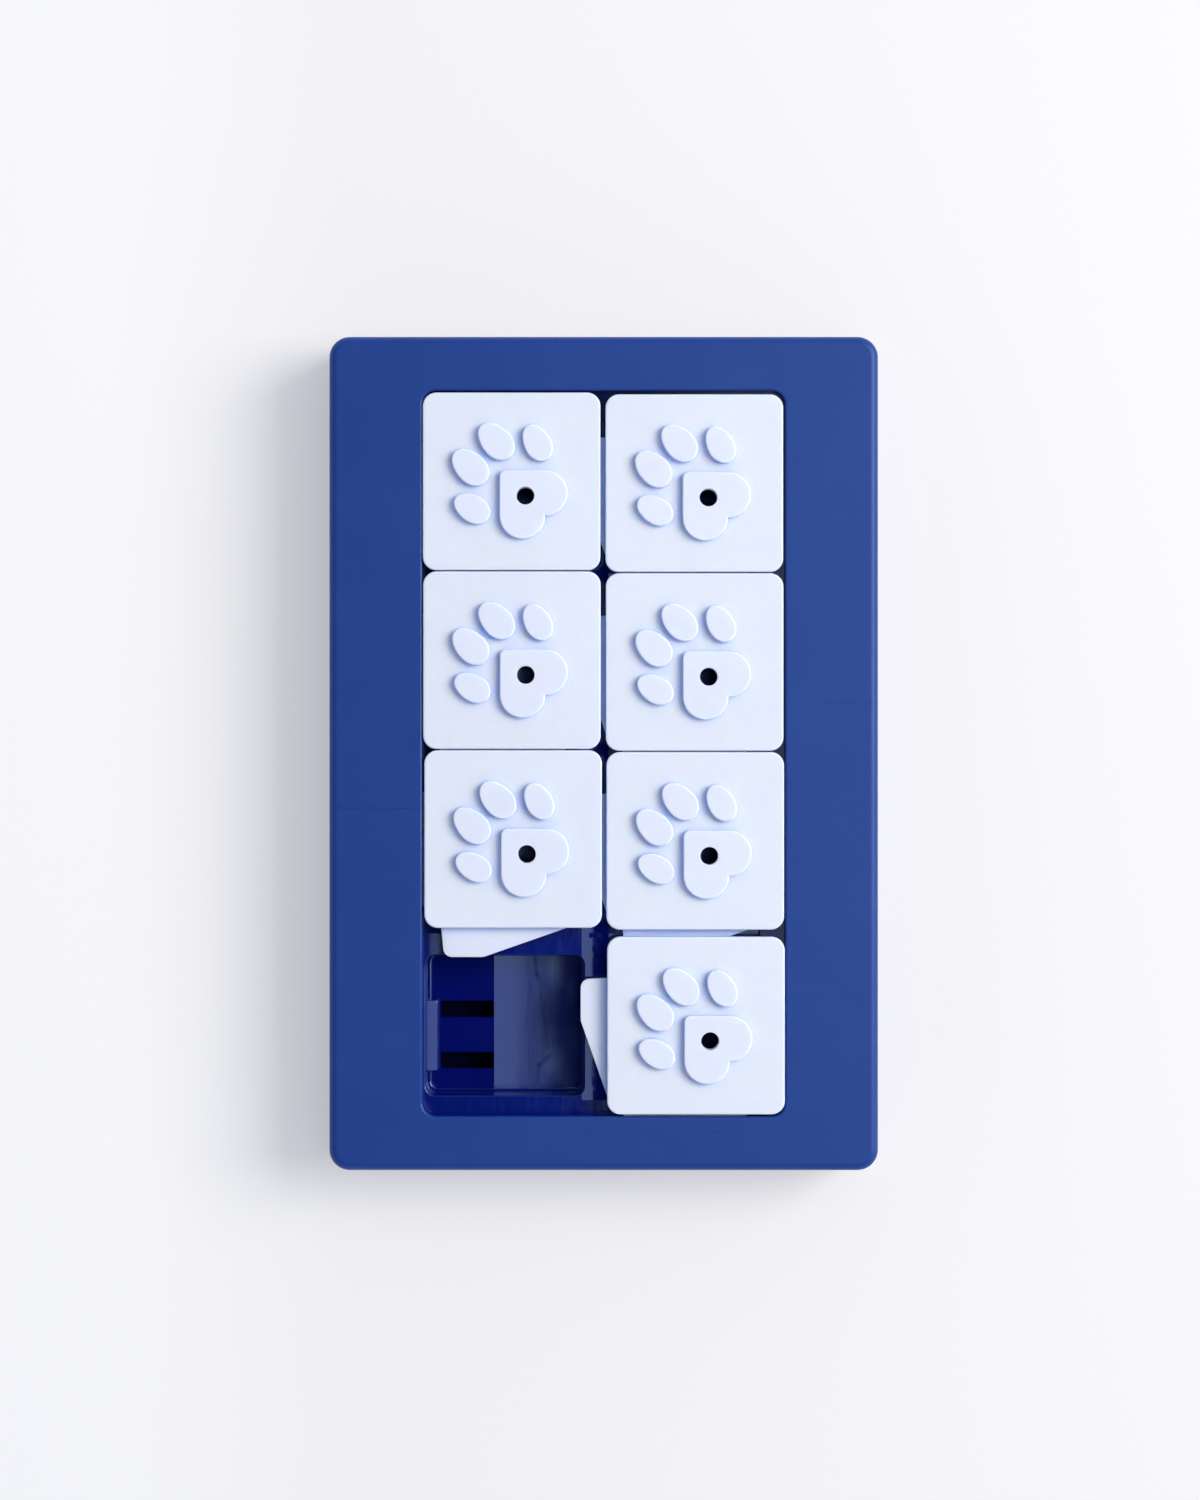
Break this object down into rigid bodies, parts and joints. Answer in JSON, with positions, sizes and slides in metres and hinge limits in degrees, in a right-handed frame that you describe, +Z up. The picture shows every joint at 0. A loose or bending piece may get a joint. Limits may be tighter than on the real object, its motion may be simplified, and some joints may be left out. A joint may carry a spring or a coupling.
{
  "type": "dog puzzle feeder toy",
  "caption": "Sliding-tile treat puzzle for a dog: a flat tray of covered wells under interlocking square tiles that slide into an empty square.",
  "frame": {"origin": "on the table under the middle of the tray, at the bottom of the feet", "axes": "+Y along the board's columns towards row 1, +X to the right across the columns, +Z up"},
  "size_m": [0.1842, 0.2794, 0.035],
  "materials": {
    "navy_plastic": "injection moulded, satin rim and glossier wells",
    "pale_plastic": "pale blue-white, fine satin",
    "rubber": "black, matt",
    "steel": "zinc plated"
  },
  "bodies": {
    "tray": {"tray_frame": "navy_plastic", "tray_base": "navy_plastic", "tray_screws": "steel", "foot_front_left": "rubber", "foot_front_right": "rubber", "foot_rear_left": "rubber", "foot_rear_right": "rubber"},
    "tile_a1": {"tile_a1_cap": "pale_plastic", "tile_a1_tongue_plate": "pale_plastic", "tile_a1_glide_plate": "pale_plastic", "tile_a1_screws": "steel"},
    "tile_a2": {"tile_a2_cap": "pale_plastic", "tile_a2_tongue_plate": "pale_plastic", "tile_a2_glide_plate": "pale_plastic", "tile_a2_screws": "steel"},
    "tile_a3": {"tile_a3_cap": "pale_plastic", "tile_a3_tongue_plate": "pale_plastic", "tile_a3_glide_plate": "pale_plastic", "tile_a3_screws": "steel"},
    "tile_b1": {"tile_b1_cap": "pale_plastic", "tile_b1_tongue_plate": "pale_plastic", "tile_b1_glide_plate": "pale_plastic", "tile_b1_screws": "steel"},
    "tile_b2": {"tile_b2_cap": "pale_plastic", "tile_b2_tongue_plate": "pale_plastic", "tile_b2_glide_plate": "pale_plastic", "tile_b2_screws": "steel"},
    "tile_b3": {"tile_b3_cap": "pale_plastic", "tile_b3_tongue_plate": "pale_plastic", "tile_b3_glide_plate": "pale_plastic", "tile_b3_screws": "steel"},
    "tile_b4": {"tile_b4_cap": "pale_plastic", "tile_b4_tongue_plate": "pale_plastic", "tile_b4_glide_plate": "pale_plastic", "tile_b4_screws": "steel"}
  },
  "joints": [
    {"name": "slide_a1", "type": "slide", "parent": "tray", "child": "tile_a1", "axis": [1, 0, 0], "range_m": [-0.0001, 0.0015]},
    {"name": "slide_a2", "type": "slide", "parent": "tray", "child": "tile_a2", "axis": [1, 0, 0], "range_m": [-0.0002, 0.0014]},
    {"name": "slide_a3", "type": "slide", "parent": "tray", "child": "tile_a3", "axis": [0, -1, 0], "range_m": [0, 0.0623]},
    {"name": "slide_b1", "type": "slide", "parent": "tray", "child": "tile_b1", "axis": [1, 0, 0], "range_m": [-0.0015, 0.0006]},
    {"name": "slide_b2", "type": "slide", "parent": "tray", "child": "tile_b2", "axis": [1, 0, 0], "range_m": [-0.0014, 0.0005]},
    {"name": "slide_b3", "type": "slide", "parent": "tray", "child": "tile_b3", "axis": [0, 1, 0], "range_m": [-0.0022, 0.0002]},
    {"name": "slide_b4", "type": "slide", "parent": "tray", "child": "tile_b4", "axis": [1, 0, 0], "range_m": [-0.0615, 0]}
  ]
}
